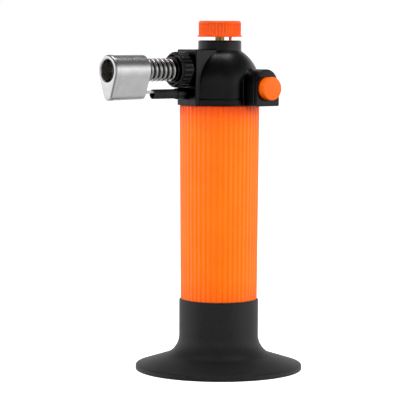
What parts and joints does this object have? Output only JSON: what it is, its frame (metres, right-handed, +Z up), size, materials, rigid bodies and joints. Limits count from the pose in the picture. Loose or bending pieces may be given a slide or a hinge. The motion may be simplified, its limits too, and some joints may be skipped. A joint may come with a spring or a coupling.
{
  "type": "butane torch",
  "caption": "Upright butane micro torch: ribbed tank on a flared stand, domed head with a gas knob and side igniter button, horizontal burner with air ring, coil and flame guard.",
  "frame": {"origin": "centre of the stand's bottom plane, on the tank's axis", "axes": "+Z up along the tank, +X the way the flame leaves, +Y the side of the igniter button"},
  "size_m": [0.0916, 0.0694, 0.145],
  "materials": {
    "stand_plastic": "finely grained black moulded plastic",
    "tank_nylon": "orange nylon, slightly translucent, satin over the ribs",
    "inner_plastic": "plain black moulding",
    "seal_rubber": "soft black rubber",
    "wick_felt": "pressed white felt",
    "valve_brass": "turned brass",
    "spring_wire": "bright drawn steel wire",
    "head_plastic": "smooth semi-gloss black plastic",
    "screw_steel": "plain steel",
    "knob_plastic": "orange-red moulded plastic",
    "ring_plastic": "black heat-proof plastic",
    "burner_steel": "stainless steel, slightly heat darkened",
    "guard_steel": "satin stainless steel sheet",
    "sleeve_plastic": "dull black tubing",
    "insulator_ceramic": "unglazed white ceramic",
    "lead_jacket": "black insulated lead",
    "button_plastic": "orange moulded plastic",
    "plunger_plastic": "white acetal"
  },
  "bodies": {
    "torch_body": {"base_stand": "stand_plastic", "fuel_tank": "tank_nylon", "tank_cap": "inner_plastic", "tank_seal": "seal_rubber", "feed_wick": "wick_felt", "filler_valve_body": "valve_brass", "filler_seal": "seal_rubber", "filler_spring": "spring_wire", "head_housing": "head_plastic", "igniter_bezel": "head_plastic", "head_screws": "screw_steel", "valve_body": "valve_brass", "valve_nut": "valve_brass", "gas_tube": "valve_brass", "gas_jet": "valve_brass", "burner_mount": "ring_plastic", "spring_seat": "ring_plastic", "burner_tube": "burner_steel", "heat_coil": "spring_wire", "flame_guard": "guard_steel", "guard_back": "guard_steel", "guard_cap": "guard_steel", "flame_holder": "burner_steel", "lead_boss": "head_plastic", "lead_sleeve": "sleeve_plastic", "electrode_insulator": "insulator_ceramic", "electrode": "screw_steel", "ignition_lead": "lead_jacket", "piezo_body": "inner_plastic", "piezo_spring": "spring_wire"},
    "regulator": {"regulator_knob": "knob_plastic", "regulator_spindle": "valve_brass", "spindle_seal": "seal_rubber", "valve_needle": "screw_steel"},
    "air_control": {"air_ring": "ring_plastic"},
    "igniter": {"ignition_button": "button_plastic", "piezo_plunger": "plunger_plastic"},
    "refill_stem": {"filler_stem": "valve_brass"}
  },
  "joints": [
    {"name": "knob_turn", "type": "hinge", "parent": "torch_body", "child": "regulator", "pos_m": [0, 0, 0.1384], "axis": [0, 0, 1], "range_deg": [0, 270]},
    {"name": "air_ring_turn", "type": "hinge", "parent": "torch_body", "child": "air_control", "pos_m": [0.0216, 0, 0.1251], "axis": [1, 0, 0], "range_deg": [0, 60]},
    {"name": "button_press", "type": "slide", "parent": "torch_body", "child": "igniter", "axis": [0, -1, 0], "range_m": [0, 0.003], "stiffness_N_per_m": 1500, "springref_m": -0.001, "deforming": ["piezo_spring"]},
    {"name": "refill_stem_press", "type": "slide", "parent": "torch_body", "child": "refill_stem", "axis": [0, 0, 1], "range_m": [0, 0.0012], "stiffness_N_per_m": 800, "springref_m": -0.0005, "deforming": ["filler_spring"]}
  ]
}
